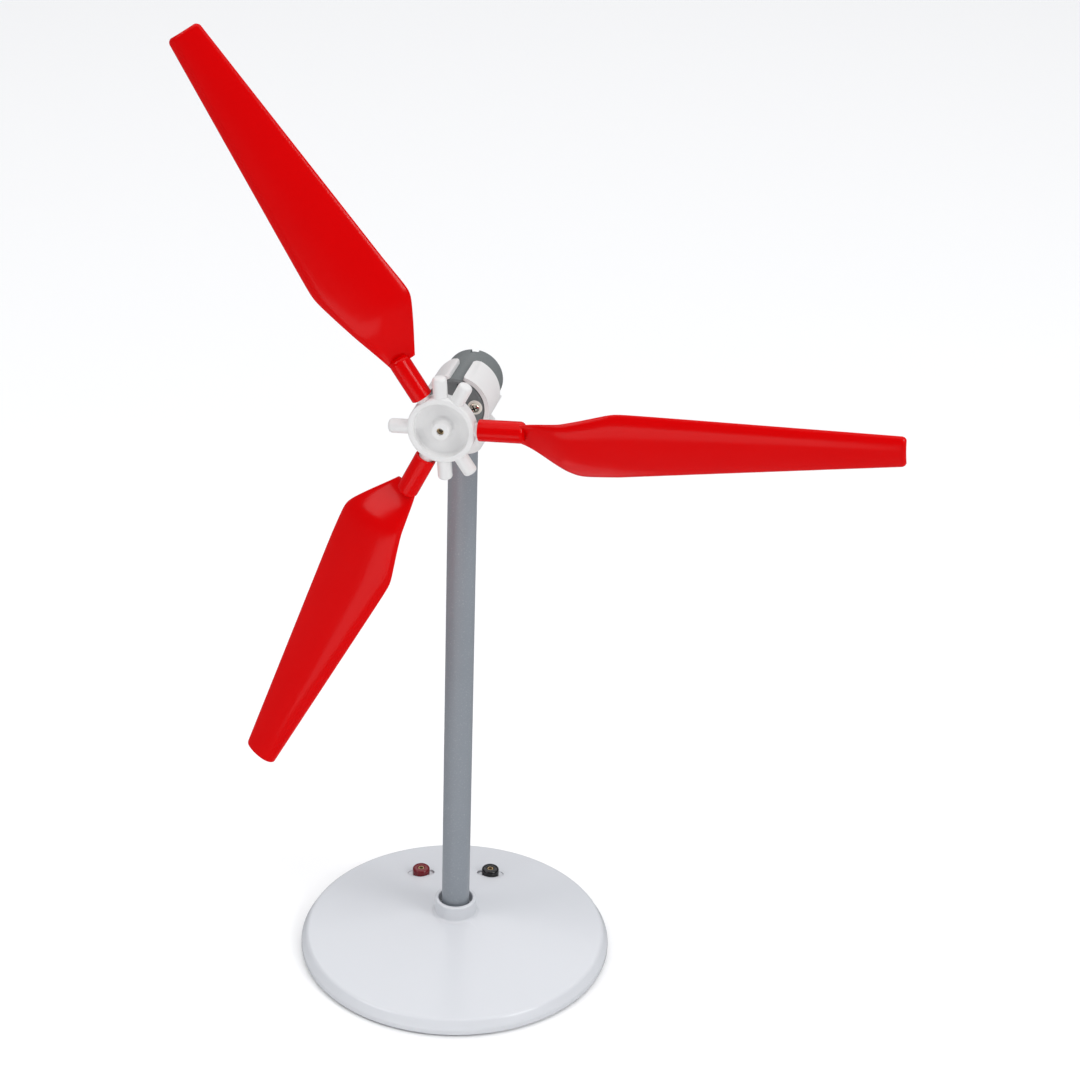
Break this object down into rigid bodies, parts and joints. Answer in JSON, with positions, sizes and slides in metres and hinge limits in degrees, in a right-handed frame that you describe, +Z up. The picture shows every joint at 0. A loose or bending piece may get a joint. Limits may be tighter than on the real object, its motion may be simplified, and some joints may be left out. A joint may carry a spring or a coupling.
{
  "type": "demonstration wind turbine",
  "caption": "Table-top horizontal-axis wind turbine: round base with two sockets, slim mast, swivelling generator head and a hub with pegs for push-on blades.",
  "frame": {"origin": "on the mast axis, on the face that the base rests on", "axes": "+Z up along the mast, -Y the way the rotor faces, +X to the right seen from the front"},
  "size_m": [0.2925, 0.14, 0.4303],
  "materials": {
    "white_plastic": "smooth moulded gloss",
    "red_plastic": "smooth moulded gloss",
    "grey_plastic": "fine matt texture",
    "mast_paint": "fine-textured satin powder coat",
    "steel": "bare",
    "screw_steel": "zinc plated",
    "nickel": "nickel plated",
    "brass": "machined",
    "bronze": "sintered",
    "copper": "enamelled wire and bars",
    "magnet": "ferrite",
    "carbon": "carbon brush",
    "nylon": "natural nylon",
    "pad_rubber": "foamed rubber",
    "red_socket_plastic": "moulded",
    "black_plastic": "moulded",
    "red_insulation": "PVC insulation",
    "black_insulation": "PVC insulation"
  },
  "bodies": {
    "stand": {"base_shell": "white_plastic", "base_cover": "white_plastic", "non_slip_pad": "pad_rubber", "ballast_weight": "steel", "cover_screws": "screw_steel", "red_socket_body": "red_socket_plastic", "red_socket_contact": "brass", "red_socket_nut": "nickel", "black_socket_body": "black_plastic", "black_socket_contact": "brass", "black_socket_nut": "nickel", "red_wire": "red_insulation", "black_wire": "black_insulation", "mast_tube": "mast_paint", "mast_screw": "screw_steel", "swivel_washer": "nylon"},
    "head": {"motor_cradle": "white_plastic", "neck_screw": "screw_steel", "motor_housing": "grey_plastic", "housing_rear_cap": "grey_plastic", "motor_screws": "nickel", "motor_can": "steel", "motor_magnets": "magnet", "motor_end_bell": "nylon", "front_bush": "bronze", "rear_bush": "bronze", "motor_brushes": "carbon", "motor_terminals": "brass"},
    "rotor": {"motor_shaft": "steel", "armature_core": "steel", "armature_windings": "copper", "commutator": "copper", "shaft_adapter": "brass", "rotor_hub": "white_plastic"},
    "blade_1": {"blade_1": "red_plastic"},
    "blade_2": {"blade_2": "red_plastic"},
    "blade_3": {"blade_3": "red_plastic"}
  },
  "joints": [
    {"name": "head_turn", "type": "hinge", "parent": "stand", "child": "head", "pos_m": [0, 0, 0.255], "axis": [0, 0, 1], "range_deg": [-120, 120], "deforming": ["red_wire", "black_wire"]},
    {"name": "rotor_spin", "type": "hinge", "parent": "head", "child": "rotor", "pos_m": [0, 0, 0.275], "axis": [0, -1, 0], "continuous": true},
    {"name": "blade_1_pitch", "type": "hinge", "parent": "rotor", "child": "blade_1", "pos_m": [0.01796, -0.0353, 0.27626], "axis": [0.9976, 0, 0.0698], "range_deg": [-90, 90]},
    {"name": "blade_2_pitch", "type": "hinge", "parent": "rotor", "child": "blade_2", "pos_m": [-0.01006, -0.0353, 0.28992], "axis": [-0.5592, 0, 0.829], "range_deg": [-90, 90]},
    {"name": "blade_3_pitch", "type": "hinge", "parent": "rotor", "child": "blade_3", "pos_m": [-0.00789, -0.0353, 0.25882], "axis": [-0.4384, 0, -0.8988], "range_deg": [-90, 90]}
  ]
}
